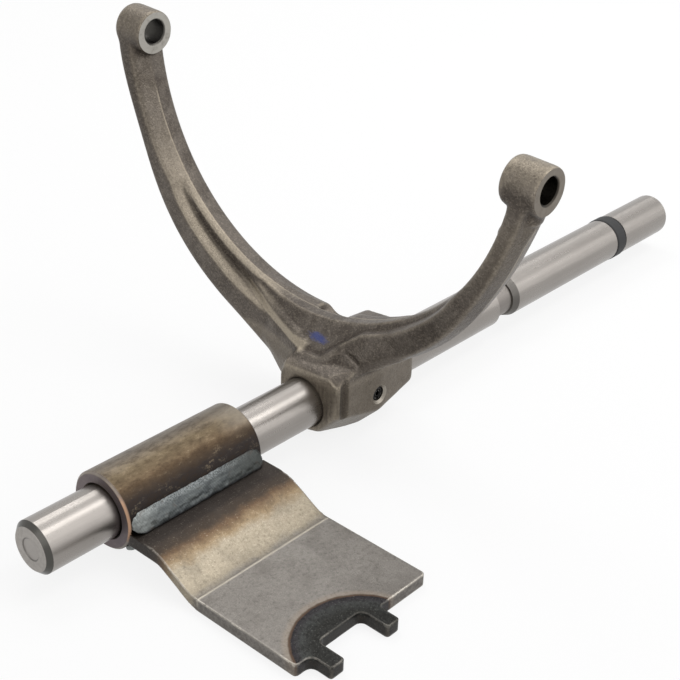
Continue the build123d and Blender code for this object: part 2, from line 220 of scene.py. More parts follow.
class Socket:
    """A shader value that takes plain arithmetic; each sign adds its Math node."""

    def __init__(self, finish, socket):
        self.finish = finish
        self.socket = socket

    def __add__(self, other):
        return self.finish.maths("ADD", self, other)

    __radd__ = __add__

    def __sub__(self, other):
        return self.finish.maths("SUBTRACT", self, other)

    def __rsub__(self, other):
        return self.finish.maths("SUBTRACT", other, self)

    def __mul__(self, other):
        return self.finish.maths("MULTIPLY", self, other)

    __rmul__ = __mul__

    def __truediv__(self, other):
        return self.finish.maths("DIVIDE", self, other)

    def __pow__(self, other):
        return self.finish.maths("POWER", self, other)

    def __abs__(self):
        return self.finish.maths("ABSOLUTE", self)

    def least(self, other):
        return self.finish.maths("MINIMUM", self, other)

    def most(self, other):
        return self.finish.maths("MAXIMUM", self, other)

    def rise(self, low, high):
        """0 below low, 1 above high and a soft step between; low may be the larger."""
        return self.finish.node(
            "ShaderNodeMapRange", {"interpolation_type": "SMOOTHSTEP"},
            {"Value": self, "From Min": low, "From Max": high})


class Finish:
    """One material: its nodes, its places in millimetres and its surface."""

    def __init__(self, name):
        self.material = bpy.data.materials.new(name)
        self.material.use_nodes = True
        self.tree = self.material.node_tree
        self.tree.nodes.clear()
        spot = Socket(self, self.tree.nodes.new("ShaderNodeTexCoord").outputs["Object"])
        self.place = self.node("ShaderNodeVectorMath", {"operation": "SCALE"}, {0: spot, "Scale": 1 / MM})
        parts = self.node("ShaderNodeSeparateXYZ", {}, {0: self.place}).socket.node
        self.x, self.y, self.z = (Socket(self, out) for out in parts.outputs)

    def node(self, kind, settings=None, sockets=None, out=0):
        """Adds a node: its settings first, then the values or links of its sockets. Gives back
        one of its outputs, or nothing where out is None."""
        made = self.tree.nodes.new(kind)
        for name, value in (settings or {}).items():
            if name == "stops":
                self.set_stops(made.color_ramp, value)
            else:
                setattr(made, name, value)
        for key, value in (sockets or {}).items():
            if isinstance(value, Socket):
                self.tree.links.new(value.socket, made.inputs[key])
            elif made.inputs[key].type == "RGBA":
                made.inputs[key].default_value = (*value, 1)
            else:
                made.inputs[key].default_value = value
        return None if out is None else Socket(self, made.outputs[out])

    def set_stops(self, ramp, stops):
        """Gives a colour ramp its (position, colour) stops."""
        while len(ramp.elements) < len(stops):
            ramp.elements.new(1)
        for element, (spot, colour) in zip(ramp.elements, stops):
            element.position = spot
            element.color = (*colour, 1)

    def maths(self, operation, *values):
        """Adds a Math node."""
        return self.node("ShaderNodeMath", {"operation": operation}, dict(enumerate(values)))

    def noise(self, size, detail=3, rough=0.55, at=None, twist=0.0):
        """Cloudy pattern from 0 to 1 whose lumps are about that many millimetres wide."""
        return self.node(
            "ShaderNodeTexNoise", {},
            {"Vector": at or self.place, "Scale": 1 / size, "Detail": detail, "Roughness": rough,
             "Distortion": twist})

    def cells(self, size, out=0):
        """Scattered cells: distance to the nearest middle, or with out=1 a colour for each cell."""
        return self.node("ShaderNodeTexVoronoi", {}, {"Vector": self.place, "Scale": 1 / size}, out)

    def drawn(self, x, y, z):
        """Places with each axis drawn out by a factor, for streaks."""
        return self.node("ShaderNodeMapping", {}, {"Vector": self.place, "Scale": (1 / x, 1 / y, 1 / z)})

    def joined(self, x, y, z):
        """A place made of three values."""
        return self.node("ShaderNodeCombineXYZ", {}, {0: x, 1: y, 2: z})

    def mix(self, under, over, share):
        """Colour under, with colour over laid on by a share from 0 to 1."""
        return self.node("ShaderNodeMix", {"data_type": "RGBA"}, {0: share, 6: under, 7: over}, 2)

    def tint(self, value, stops):
        """Colour along a ramp whose stops are (value, colour), for any range of values."""
        low, high = stops[0][0], stops[-1][0]
        along = self.node(
            "ShaderNodeMapRange", {}, {"Value": value, "From Min": low, "From Max": high})
        places = [((spot - low) / (high - low), colour) for spot, colour in stops]
        return self.node("ShaderNodeValToRGB", {"stops": places}, {0: along})

    def around(self, y=0.0, z=0.0):
        """Distance in millimetres from the line along X at that y and z."""
        return ((self.y - y) ** 2 + (self.z - z) ** 2) ** 0.5

    def bump(self, height, depth, over=None):
        """Bump whose height of 1 stands for that many metres."""
        sockets = {"Height": height, "Distance": depth, "Strength": 1.0}
        if over:
            sockets["Normal"] = over
        return self.node("ShaderNodeBump", {}, sockets)

    def ended(self, shader):
        """Ends the material in a shader."""
        self.node("ShaderNodeOutputMaterial", {}, {"Surface": shader}, None)
        return self.material

    def surface(self, colour, roughness, metallic, normal):
        """Ends the material in one surface shader."""
        return self.ended(self.node("ShaderNodeBsdfPrincipled", {}, {
            "Base Color": colour, "Roughness": roughness, "Metallic": metallic, "Normal": normal}))


def rail_steel(look):
    """Ground steel: fine marks round the rail, faint lengthwise wear, a turned end and step."""
    f = Finish("ground_rail_steel")
    bright, turned_end, middle = shade_of(172, 168, 163), shade_of(180, 176, 170), shade_of(186, 183, 178)
    dark, stain = shade_of(60, 60, 57), shade_of(72, 68, 64)
    step_end, dish_r = 259.2, 4.5
    grind = f.noise(1.0, 2, 0.6, f.drawn(0.12, 4, 4))
    wear = f.noise(1.0, 3, 0.6, f.drawn(40, 1.6, 1.6))
    cloud = f.noise(14, 3, 0.5)
    radius = f.around()
    end = f.x.rise(0.4, 0.05)
    face = end * radius.rise(8.3, 8.1)
    chamfer = f.x.rise(1.9, 1.7) * radius.rise(8.2, 8.35)
    dish = end * radius.rise(dish_r, 4.2)
    lip = abs(radius - 4.15).rise(0.35, 0.1) * f.x.rise(0.6, 0.4)
    step = f.x.rise(244.0, 244.5) * f.x.rise(step_end, 258.6)
    seat = f.x.rise(255.3, 255.8) * f.x.rise(step_end, 258.9)
    dull_span = sum(f.x.rise(start, full) * f.x.rise(stop, fade) for start, full, fade, stop in DULL_SPANS)
    colour = f.mix(look.steel[:], look.shadow_steel[:], 0.08 + 0.45 * wear * cloud)
    colour = f.mix(colour, bright, 0.3 * wear.rise(0.6, 0.8))
    colour = f.mix(colour, look.shadow_steel[:], (0.4 * step + 0.1 * dish + 0.4 * dull_span).least(1))
    colour = f.mix(colour, turned_end, 0.35 * face * wear.rise(0.35, 0.6))
    colour = f.mix(colour, dark, (0.85 * chamfer + 0.6 * lip + 0.6 * seat).least(1))
    core = face * radius.rise(4.1, 3.7) * (0.35 + 0.65 * abs(radius - 2.2).rise(0.7, 0.3))
    colour = f.mix(colour, middle, 0.4 * core)
    rings = f.noise(0.16, 2, 0.6, f.joined(radius, 0.0, 0.0))
    speck = f.cells(2.6).rise(0.1, 0.04) * f.noise(30, 1).rise(0.5, 0.6)
    colour = f.mix(colour, stain, 0.4 * speck)
    height = grind * (1 - face) + 1.6 * rings * face
    rough = 0.17 + 0.1 * wear + 0.06 * grind + 0.14 * step + 0.14 * face + 0.08 * cloud
    return f.surface(colour, rough, 1.0, f.bump(height, look.grind_depth))


def ring_rubber(look):
    """Matte black rubber with a moulding line and dust."""
    f = Finish("black_ring_rubber")
    dust = f.noise(3.5, 4, 0.65).rise(0.52, 0.8)
    grain = f.noise(0.35, 3, 0.6)
    middle = abs(f.x - RING_X).rise(0.16, 0.05)
    grey = shade_of(86, 84, 82)
    colour = f.mix(look.rubber[:], grey, 0.25 * dust)
    return f.surface(colour, 0.62 + 0.2 * dust, 0.0, f.bump(0.4 * grain + 0.5 * middle, 0.05 * MM))


def forged_steel(look):
    """Forging scale after shot blasting: grainy, lighter on worn edges, darker in hollows, with painted light
    on the inner walls of the left arm and the boss tops, and painted shade on the front of the upper left
    arm, in the front recesses and in the hub groove.
    """
    f = Finish("forged_fork_steel")
    glint, pit, soot, slot = (
        shade_of(184, 173, 156), shade_of(34, 31, 28), shade_of(56, 48, 40), shade_of(44, 37, 31))
    edge = f.node("ShaderNodeAttribute", {"attribute_name": "edge"}, out=2)
    facing = f.node("ShaderNodeAttribute", {"attribute_name": "facing"}, out=2)
    fine = f.noise(0.5, 3, 0.7)
    grain = f.noise(1.3, 4, 0.7)
    blotch = f.noise(13, 4, 0.65, twist=0.5)
    shot = f.cells(0.55, 1) * 1.0
    pits = f.cells(0.8)
    arms = f.z.rise(14.5, 16)
    front = f.x.rise(FORK_X + 0.5, FORK_X - 0.3)
    # Painted light: the band along the inner wall of the left arm and that arm's faces turned to the middle
    # of the arc are lightened in colour.
    wall = f.around(ARC_Y, ARC_Z) - 106.1 + 0.122 * f.y
    band = wall.rise(-3.6, -2.4) * wall.rise(0.5, -0.3) * f.y.rise(6.5, 10) * f.y.rise(62, 40)
    inner = facing.rise(0.3, 0.75) * front * f.y.rise(26, 40) * (0.1 + 0.48 * f.z.rise(88, 48))
    inner = inner.most(band * arms * f.x.rise(FORK_X - 2.5, FORK_X - 4))
    parting = abs(f.x - FORK_X).rise(0.5, 0.15) * f.z.rise(24, 30) * f.z.rise(97, 92)
    worn = (edge.rise(0.05, 0.5) * (2.2 * grain - 0.35)).least(1)
    # Painted shade: upper marks the front faces of the upper left arm, and recess the front faces set back in
    # the channel; both are darkened in colour.
    upper = f.x.rise(FORK_X - 5.5, FORK_X - 7.5) * f.z.rise(45, 90) * f.y.rise(0, 30)
    recess = f.x.rise(FORK_X - 8.2, FORK_X - 6.2) * front * facing.rise(0.65, 0.35)
    right = f.y.rise(-40, -60)
    # Painted highlight on the tops of the bosses, stronger on the right one; the same mask also lightens the
    # right arm between z 60 and 100 and the hub below z 12.5 to 15.5.
    crown = 1.3 * f.z.rise(113, 121) * grain + 1.9 * f.z.rise(107, 115) * right * grain
    crown = crown + 0.4 * f.z.rise(60, 85) * f.z.rise(100, 94) * right + 0.75 * f.z.rise(15.5, 12.5)
    faced = f.x.rise(FORK_FRONT + 0.9, FORK_FRONT + 0.5)
    deep = edge.rise(-0.03, -0.35) * (1 - 0.8 * band)
    colour = f.mix(look.hollow_scale_and_shade[:], look.scale[:], (0.35 + 0.65 * blotch.rise(0.35, 0.6)).least(1))
    # Painted shade on the front of the upper left arm and in the front recesses.
    colour = f.mix(colour, look.hollow_scale_and_shade[:], (0.5 * upper + 0.5 * recess).least(0.6))
    # Painted highlight on the inner walls of the left arm, plus the real faced front of the hub.
    colour = f.mix(colour, look.blasted[:], (inner * (0.65 + 0.75 * grain) + 0.4 * faced).least(1))
    colour = f.mix(colour, look.hollow_scale_and_shade[:], 0.75 * deep)
    # Worn edges and the parting line are real wear; crown adds the painted highlight on the boss tops.
    colour = f.mix(colour, look.blasted[:], (0.45 * worn + 0.6 * parting + 0.4 * crown).least(0.9))
    hub = f.z.rise(13, 10)
    streak = f.noise(1.0, 4, 0.65, f.drawn(1.3, 1.3, 11))
    colour = f.mix(colour, soot, hub * (0.2 + (0.12 + 0.35 * faced) * streak.rise(0.4, 0.7)))
    # Painted shade in the groove on the hub side.
    groove = ((f.x - FORK_FRONT - GROOVE_X) ** 2 + (f.y + 20.1) ** 2) ** 0.5
    colour = f.mix(colour, slot, 0.8 * groove.rise(3.5, 2.3) * f.z.rise(17, 13))
    bright = (1 - 0.6 * hub) * shot.rise(0.5, 0.85) * (0.3 + 0.7 * grain.rise(0.35, 0.6))
    colour = f.mix(colour, glint, 0.15 * bright)
    colour = f.mix(colour, pit, 0.17 * shot.rise(0.45, 0.1) + 0.12 * fine.rise(0.46, 0.3))
    stroke = f.noise(1.0, 3, 0.6, f.drawn(1.0, 3.4, 0.8))
    spread = (((f.y - 4.5) / 6.0) ** 2 + ((f.z - 21.9) / 1.8) ** 2) ** 0.5 + 1.3 * (stroke - 0.5)
    dab = spread.rise(1.05, 0.35) * f.x.rise(FORK_X - 1.5, FORK_X - 2.2) * (1 - band)
    colour = f.mix(colour, look.paint[:], 0.75 * dab)
    rough = 0.34 + 0.22 * grain - 0.08 * worn + 0.2 * deep
    lie = f.bump(0.5 * fine + 0.6 * pits + 0.8 * grain + 0.7 * shot, look.blast_depth)
    return f.surface(colour, rough, 0.85 - 0.6 * dab, f.bump(f.noise(6, 3), 0.35 * MM, lie))


def machined_steel(look):
    """Turned steel: bright boss faces, and painted shade inside the boss bores."""
    f = Finish("machined_fork_steel")
    turn = f.noise(0.4, 3, 0.6, f.drawn(1, 0.12, 1))
    smear = f.noise(3, 4, 0.65)
    middle = f.z - 112.9 - (f.y - 2.0) * 0.0459
    out = ((f.x - FORK_X) ** 2 + middle ** 2) ** 0.5
    inside = out.rise(5.7, 5.2) * f.z.rise(60, 70)
    colour = f.mix(look.machined[:], look.scale[:], 0.1 + 0.4 * smear.rise(0.5, 0.75))
    right_boss, pin_mouth = shade_of(112, 104, 94), shade_of(134, 127, 117)
    colour = f.mix(colour, right_boss, f.y.rise(-60, -70) * (0.75 + 0.3 * smear).least(1))
    colour = f.mix(colour, pin_mouth, f.z.rise(30, 20) * (0.55 + 0.5 * smear).least(1))
    # Painted shade inside the boss bores.
    colour = f.mix(colour, look.bore_shade[:], 0.85 * inside)
    return f.surface(colour, 0.3 + 0.15 * smear, 1.0, f.bump(turn, 0.03 * MM))


def tube_steel(look):
    """Drawn tube with heat tint that darkens towards the weld, and a painted highlight on its near rim,
    copper-coloured where the tint is brown to black.
    """
    f = Finish("heat_tinted_tube")
    soot, straw, pale, rim, copper_highlight, sawn = (
        shade_of(54, 44, 35), shade_of(158, 142, 118), shade_of(140, 134, 124),
        shade_of(150, 142, 136), shade_of(196, 152, 118), shade_of(112, 103, 106))
    near_x, far_x = SLEEVE_X
    cloud = f.noise(5, 4, 0.65)
    turn = f.maths("ARCTAN2", 0 - f.y, f.z)
    heat = turn / math.pi * 180 + 16 * (cloud - 0.5)
    colour = f.tint(heat, [
        (-60, look.steel[:]), (-6, look.steel[:]), (16, look.straw[:]), (38, look.brown[:]),
        (58, look.black[:]), (120, look.black[:]), (170, look.brown[:])])
    blotch = f.noise(1.0, 5, 0.7, f.drawn(5.5, 2.6, 2.6))
    fine = f.noise(0.8, 4, 0.75)
    colour = f.mix(colour, soot, 0.46 * blotch.rise(0.44, 0.66) + 0.34 * fine.rise(0.5, 0.68))
    colour = f.mix(colour, straw, 0.3 * blotch.rise(0.48, 0.32) * fine.rise(0.42, 0.6))
    colour = f.mix(colour, pale, 0.45 * f.x.rise(76, 92) * heat.rise(50, 20))
    # Painted highlight on the near rim: a pale edge all round, copper-coloured where the heat tint is brown
    # to black.
    rim_highlight = f.x.rise(near_x + 0.9, near_x + 0.2) * f.around().rise(13.6, 14.2)
    copper = rim_highlight * heat.rise(36, 58) * heat.rise(122, 100)
    colour = f.mix(colour, rim, 0.5 * rim_highlight)
    colour = f.mix(colour, copper_highlight, 0.6 * copper)
    end = (f.x.rise(near_x, near_x - 0.15) + f.x.rise(far_x, far_x + 0.15)).least(1)
    end = end * f.around().rise(14.0, 13.7)
    colour = f.mix(colour, sawn, 0.75 * end)
    height = f.noise(0.8, 2, 0.6, f.drawn(0.3, 4, 4)) + 0.8 * fine
    rough = 0.27 + 0.16 * blotch + 0.12 * fine + 0.1 * end
    return f.surface(colour, rough, 1.0, f.bump(height, 0.03 * MM))


def plate_steel(look):
    """Rolled plate: burnt beside the weld, straw over the bend, blue-black at the hardened jaw, with a
    painted highlight along its edges and painted shade towards low x on the flat.
    """
    f = Finish("heat_tinted_plate")
    dark, pale, scorched, toasted = (
        shade_of(66, 61, 57), shade_of(206, 198, 182), shade_of(62, 54, 47), shade_of(124, 108, 86))
    halo, rust, edge_highlight = shade_of(160, 138, 112), shade_of(66, 50, 39), shade_of(190, 184, 174)
    cloud = f.noise(16, 4, 0.6)
    mottle = f.noise(1.4, 4, 0.7)
    fine = f.noise(0.55, 3, 0.7)
    drift = f.noise(7, 4, 0.65) - 0.5
    away = 0 - f.y - 17.5 + 6 * drift
    colour = f.tint(away, [
        (0, look.black[:]), (6.5, look.black[:]), (11, scorched), (13.5, look.brown[:]),
        (16.5, toasted), (19.5, look.straw[:]), (27, look.straw[:]), (31, look.steel[:]),
        (60, look.steel[:])])
    slope = away.rise(12, 17) * f.y.rise(-48.0, -46.5)
    colour = f.mix(colour, dark, 0.34 * mottle.rise(0.5, 0.72) + 0.2 * fine.rise(0.5, 0.7))
    colour = f.mix(colour, pale, (0.1 + 0.12 * slope) * fine.rise(0.48, 0.34) * mottle.rise(0.52, 0.4))
    # The second term darkens the flat far from the weld towards low x: painted shade.
    colour = f.mix(colour, dark, 0.3 * cloud.rise(0.45, 0.7) + 0.2 * f.x.rise(82, 36) * away.rise(28, 34))
    crease = abs(f.y - BEND_Y + 0.3 * drift).rise(0.7, 0.1) * f.z.rise(-14.5, -11.5)
    above = f.y.rise(-48.2, -47.6) * f.y.rise(-44.5, -47.0)
    colour = f.mix(colour, dark, 0.3 * above)
    colour = f.mix(colour, pale, (0.1 + 0.5 * cloud) * crease)
    jaw = ((f.x - JAW_X) ** 2 + (f.y - JAW_Y) ** 2) ** 0.5 + 1.5 * drift
    colour = f.mix(colour, halo, 0.16 * jaw.rise(27.0, 24.6))
    colour = f.mix(colour, rust, 0.9 * jaw.rise(24.5, 23.7))
    hard = f.tint(jaw, [
        (10, shade_of(42, 42, 41)), (16, look.hardened[:]), (20, shade_of(54, 55, 54)),
        (22, shade_of(46, 44, 46)), (23.2, shade_of(38, 36, 38))])
    hard = f.mix(hard, shade_of(28, 27, 26), 0.6 * mottle.rise(0.46, 0.62))
    hard = f.mix(hard, shade_of(118, 118, 113), 0.3 * fine.rise(0.56, 0.7))
    colour = f.mix(colour, hard, jaw.rise(23.6, 22.9))
    # Painted highlight along the broken edges, patchy, and weaker on the jaw.
    edge = f.node("ShaderNodeAttribute", {"attribute_name": "edge"}, out=2)
    patchy = 0.2 + 0.9 * cloud.rise(0.4, 0.62) * mottle.rise(0.35, 0.6)
    broken = edge.rise(0.08, 0.5) * away.rise(2, 12) * patchy
    colour = f.mix(colour, edge_highlight, 0.7 * broken * jaw.rise(20, 26).most(0.3))
    low_z = PLATE_LOW.z / MM
    side = f.z.rise(low_z + 4.2, low_z + 3.6) * away.rise(26, 30)
    colour = f.mix(colour, dark, 0.35 * side * mottle.rise(0.35, 0.6))
    scratch = f.noise(1.0, 2, 0.5, f.node("ShaderNodeMapping", {}, {
        "Vector": f.place, "Rotation": (0.0, 0.0, 1.1), "Scale": (0.05, 4.0, 1.0)}))
    marks = scratch.rise(0.74, 0.8) * cloud.rise(0.48, 0.6)
    colour = f.mix(colour, dark, 0.5 * marks)
    rough = 0.3 + 0.16 * mottle + 0.1 * fine - 0.05 * jaw.rise(23.6, 22.6)
    height = 0.6 * fine + 0.9 * mottle + crease - 0.6 * marks
    return f.surface(colour, rough, 1.0, f.bump(height, 0.06 * MM))


def weld_metal(look):
    """Rippled weld: crescents that lean along the bead, lighter at its upper toe."""
    f = Finish("rippled_weld")
    pale, dull, lit, toe_tone, brown = (
        shade_of(168, 172, 172), shade_of(60, 62, 60), shade_of(136, 139, 136), shade_of(34, 34, 36),
        shade_of(74, 62, 54))
    across = (f.z - 1.0) - 0.5 * (f.y + 15.5)
    wander = 1.2 * (f.noise(4, 3) - 0.5)
    phase = (f.x + 0.55 * across + 0.05 * across * across + wander) * (2 * math.pi * MM / look.pitch)
    wave = f.maths("SINE", phase) * 0.5 + 0.5
    grain = f.noise(0.5, 4, 0.7)
    patch = f.noise(6, 3, 0.6)
    streak = f.noise(1.0, 3, 0.6, f.drawn(9, 1.1, 1.1))
    share = 0.1 + 0.35 * wave * grain.rise(0.35, 0.65) + 0.3 * patch.rise(0.35, 0.65)
    share = share + 0.4 * streak.rise(0.45, 0.65)
    colour = f.mix(look.slag[:], look.metal[:], share.least(1))
    upper = f.z.rise(2.2, 3.8) * f.z.rise(5.0, 4.2)
    colour = f.mix(colour, pale, 0.4 * upper * grain.rise(0.4, 0.6))
    colour = f.mix(colour, dull, 0.85 * f.x.rise(62, 88))
    colour = f.mix(colour, lit, 0.45 * f.x.rise(44, 34))
    toe = f.z.rise(-0.9, -1.7) * f.z.rise(-3, -2.2)
    colour = f.mix(colour, toe_tone, 0.7 * toe)
    colour = f.mix(colour, brown, 0.4 * f.noise(3, 3).rise(0.55, 0.75))
    height = wave * (0.4 + 0.6 * patch) + 0.5 * grain
    return f.surface(colour, 0.34 + 0.2 * grain, 0.9, f.bump(height, look.ripple))


def pin_steel(look):
    """Black spring steel with worn bright rims."""
    f = Finish("spring_pin_steel")
    wear = f.noise(0.8, 3, 0.6)
    colour = f.mix(look.oxide[:], look.worn[:], 0.55 * wear.rise(0.5, 0.75))
    return f.surface(colour, 0.35 + 0.2 * wear, 1.0, f.bump(f.noise(0.4, 2), 0.03 * MM))


def only(*pieces):
    """Selects these objects alone; the first is the active one."""
    for other in bpy.context.view_layer.objects:
        other.select_set(False)
    for piece in pieces:
        piece.select_set(True)
    bpy.context.view_layer.objects.active = pieces[0]


def paint(piece, *materials):
    """Gives an object these materials in its slots."""
    piece.data.materials.clear()
    for material in materials:
        piece.data.materials.append(material)


def coat_node(node, material):
    """Puts a material into the slots of a CAD node."""
    for spot in frame["nodes"][node].material_slots:
        spot.material = material


def copy_of(node, name):
    """A free copy of a CAD node, merged into one closed skin."""
    only(frame["nodes"][node])
    bpy.ops.object.duplicate()
    piece = bpy.context.view_layer.objects.active
    piece.name = name
    piece.data.name = name
    piece.parent = None
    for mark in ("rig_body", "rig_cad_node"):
        del piece[mark]
    bpy.ops.mesh.customdata_custom_splitnormals_clear()
    bpy.ops.object.mode_set(mode="EDIT")
    bpy.ops.mesh.select_all(action="SELECT")
    bpy.ops.mesh.remove_doubles(threshold=0.002 * MM)
    bpy.ops.mesh.normals_make_consistent(inside=False)
    bpy.ops.object.mode_set(mode="OBJECT")
    return piece


def apply(piece, kind, **settings):
    """Adds one modifier with its settings and applies it."""
    only(piece)
    made = piece.modifiers.new(kind.lower(), kind)
    for name, value in settings.items():
        setattr(made, name, value)
    bpy.ops.object.modifier_apply(modifier=made.name)


def turned(start, way, profile, sides=96):
    """A closed turned solid: rings of (distance, radius) in millimetres from start along way."""
    way = Vector(way).normalized()
    first, radius = profile[0]
    bpy.ops.mesh.primitive_circle_add(
        vertices=sides, radius=radius * MM, fill_type="NGON", location=(Vector(start) + way * first) * MM,
        rotation=way.to_track_quat("Z", "Y").to_euler())
    made = bpy.context.view_layer.objects.active
    only(made)
    bpy.ops.object.transform_apply(location=True, rotation=True, scale=True)
    bpy.ops.object.mode_set(mode="EDIT")
    bpy.ops.mesh.select_all(action="SELECT")
    for (last, old), (here, new) in zip(profile, profile[1:]):
        bpy.ops.mesh.extrude_region_move(
            TRANSFORM_OT_translate={"value": way * (here - last) * MM, "orient_type": "GLOBAL"})
        if new != old:
            bpy.ops.transform.resize(value=(new / old,) * 3)
    bpy.ops.mesh.select_all(action="SELECT")
    bpy.ops.mesh.normals_make_consistent(inside=False)
    bpy.ops.object.mode_set(mode="OBJECT")
    return made


def rod(radius, start, end, sides=96):
    """A closed cylinder between two points in millimetres."""
    start, end = Vector(start), Vector(end)
    return turned(start, end - start, [(0, radius), ((end - start).length, radius)], sides)


def merged(piece, others):
    """Joins other solids into a piece as they are."""
    only(piece, *others)
    bpy.ops.object.join()
    return piece


def remade(piece, grain, rounding):
    """Rebuilds a piece from even cells and rounds its edges."""
    only(piece)
    piece.data.remesh_voxel_size = grain
    bpy.ops.object.voxel_remesh()
    apply(piece, "SMOOTH", factor=0.5, iterations=rounding)
    only(piece)
    bpy.ops.object.shade_smooth()


def rods(radii, points):
    """Cylinders that join points one after another."""
    return [rod(radius, here, there) for radius, here, there in zip(radii, points, points[1:])]


def cut(piece, tool, material=None):
    """Takes a closed tool out of a piece; the cut faces get the tool's material."""
    if material:
        paint(tool, material)
    apply(piece, "BOOLEAN", operation="DIFFERENCE", object=tool, solver="EXACT", material_mode="TRANSFER")
    bpy.data.objects.remove(tool)


def mark_edges(piece, rounds=3):
    """Writes two values at each point: "edge", above 0 on edges and below 0 in hollows, and
    "facing", which is 1 where the surface faces the middle of the fork's arc."""
    mesh = piece.data
    count = len(mesh.vertices)
    spots = np.empty(count * 3)
    mesh.vertices.foreach_get("co", spots)
    spots = spots.reshape(-1, 3)
    normals = np.empty(count * 3)
    mesh.vertices.foreach_get("normal", normals)
    normals = normals.reshape(-1, 3)
    ends = np.empty(len(mesh.edges) * 2, int)
    mesh.edges.foreach_get("vertices", ends)
    one, two = ends.reshape(-1, 2).T
    step = spots[two] - spots[one]
    length = np.linalg.norm(step, axis=1) + 1e-9
    turn_one = -(step * normals[one]).sum(1) / length
    turn_two = (step * normals[two]).sum(1) / length
    many = np.bincount(one, minlength=count) + np.bincount(two, minlength=count) + 1e-9
    turn = (np.bincount(one, turn_one, count) + np.bincount(two, turn_two, count)) / many
    for _ in range(rounds):
        near = np.bincount(one, turn[two], count) + np.bincount(two, turn[one], count)
        turn = 0.4 * turn + 0.6 * near / many
    inward = np.array((0, ARC_Y, ARC_Z)) * MM - spots * (0, 1, 1)
    facing = (inward * normals).sum(1) / np.linalg.norm(inward, axis=1)
    for name, values in (("edge", turn * 5), ("facing", facing)):
        sheet = mesh.attributes.new(name, "FLOAT", "POINT")
        sheet.data.foreach_set("value", values.astype(np.float32))


def settle(piece, slot, *nodes):
    """Hangs a finished piece on the frame in place of its CAD nodes."""
    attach(piece, "root")
    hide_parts(*nodes)


class SHAFT_OT_rail(bpy.types.Operator):
    """Finishes the ground rail and its black ring"""
    bl_idname = "shaft.rail"
    bl_label = "Rail and ring"

    def execute(self, context):
        look = context.scene.shaft_rail
        coat_node("shift_rail", rail_steel(look))
        coat_node("seal_ring", ring_rubber(look))
        return {"FINISHED"}


class SHAFT_OT_fork(bpy.types.Operator):
    """Rebuilds the fork as a rounded forging with machined bores"""
    bl_idname = "shaft.fork"
    bl_label = "Forged fork"

    def execute(self, context):
        look = context.scene.shaft_fork
        forged, machined = forged_steel(look), machined_steel(look)
        piece = copy_of("shift_fork", "forged_fork")
        out = Vector((0, -1, -BOSS_TILT)).normalized()
        bosses = [(Vector((FORK_X, *face)), length) for face, length in BOSSES]
        plugs = [rod(12.5, (FORK_FRONT + 0.4, 0, 0), (FORK_BACK - 0.4, 0, 0)),
                 rod(5.0, (FORK_X, -19.7, PIN_Z), (FORK_X, 18.2, PIN_Z))]
        for face, length in bosses:
            middle = face - Vector((0, 0, 0.5))
            plugs.append(rod(8.4, middle + out * 0.8, middle - out * (length - 1.0)))
        plugs += rods(*HEEL) + rods(*RIDGE) + rods(*SLOPE)
        merged(piece, plugs)
        remade(piece, look.grain, look.rounding)
        groove_x = FORK_FRONT + GROOVE_X
        cut(piece, rod(2.6, (groove_x, -19.9, -16), (groove_x, -19.9, 18)))
        cut(piece, turned((FORK_FRONT + 2.1, -13.7, 16.1), (-0.5, -0.42, 0.76), [(0, 11), (9, 11)]))
        remade(piece, look.grain - 0.06 * MM, 5)
        paint(piece, forged)
        mark_edges(piece)
        bore, lead = RAIL_R + 0.02, 0.9
        long = FORK_BACK - FORK_FRONT
        wide = bore + lead + 2
        cut(piece, turned((FORK_FRONT, 0, 0), (1, 0, 0), [
            (-2, wide), (lead, bore), (long - lead, bore), (long + 2, wide)], 160), machined)
        for face, length in bosses:
            cut(piece, turned(face, out, [
                (6, 14), (0, 14), (-0.05, 5.6), (-0.6, BOSS_BORE_R), (-length - 4, BOSS_BORE_R)]), machined)
        cut(piece, turned((FORK_X, 0, PIN_Z), (0, 1, 0), [
            (-26, PIN_MOUTH_R), (-19.7, PIN_MOUTH_R), (-18.7, PIN_HOLE_R), (22.2, PIN_HOLE_R)], 64), machined)
        only(piece)
        bpy.ops.object.shade_smooth_by_angle(angle=math.radians(40))
        settle(piece, "forged_steel", "shift_fork")
        return {"FINISHED"}


class SHAFT_OT_sleeve(bpy.types.Operator):
    """Finishes the driver sleeve"""
    bl_idname = "shaft.sleeve"
    bl_label = "Driver sleeve"

    def execute(self, context):
        coat_node("driver_sleeve", tube_steel(context.scene.shaft_sleeve))
        return {"FINISHED"}


class SHAFT_OT_plate(bpy.types.Operator):
    """Rebuilds the driver plate with softly broken edges"""
    bl_idname = "shaft.plate"
    bl_label = "Driver plate"

    def execute(self, context):
        look = context.scene.shaft_plate
        piece = copy_of("driver_plate", "tinted_plate")
        remade(piece, look.grain, look.rounding)
        mark_edges(piece, 1)
        paint(piece, plate_steel(look))
        settle(piece, "plate_steel", "driver_plate")
        return {"FINISHED"}


class SHAFT_OT_welds(bpy.types.Operator):
    """Rebuilds both weld beads with rounded crowns and ripples"""
    bl_idname = "shaft.welds"
    bl_label = "Weld beads"

    def execute(self, context):
        look = context.scene.shaft_weld
        metal = weld_metal(look)
        for node, name in (("weld_top", "upper_bead"), ("weld_bottom", "lower_bead")):
            piece = copy_of(node, name)
            remade(piece, 0.3 * MM, 10)
            clouds = bpy.data.textures.new("weld_lumps", "CLOUDS")
            clouds.noise_scale = 2.6 * MM
            apply(piece, "DISPLACE", texture=clouds, texture_coords="GLOBAL", strength=look.lumps)
            paint(piece, metal)
            settle(piece, "weld_metal", node)
        return {"FINISHED"}


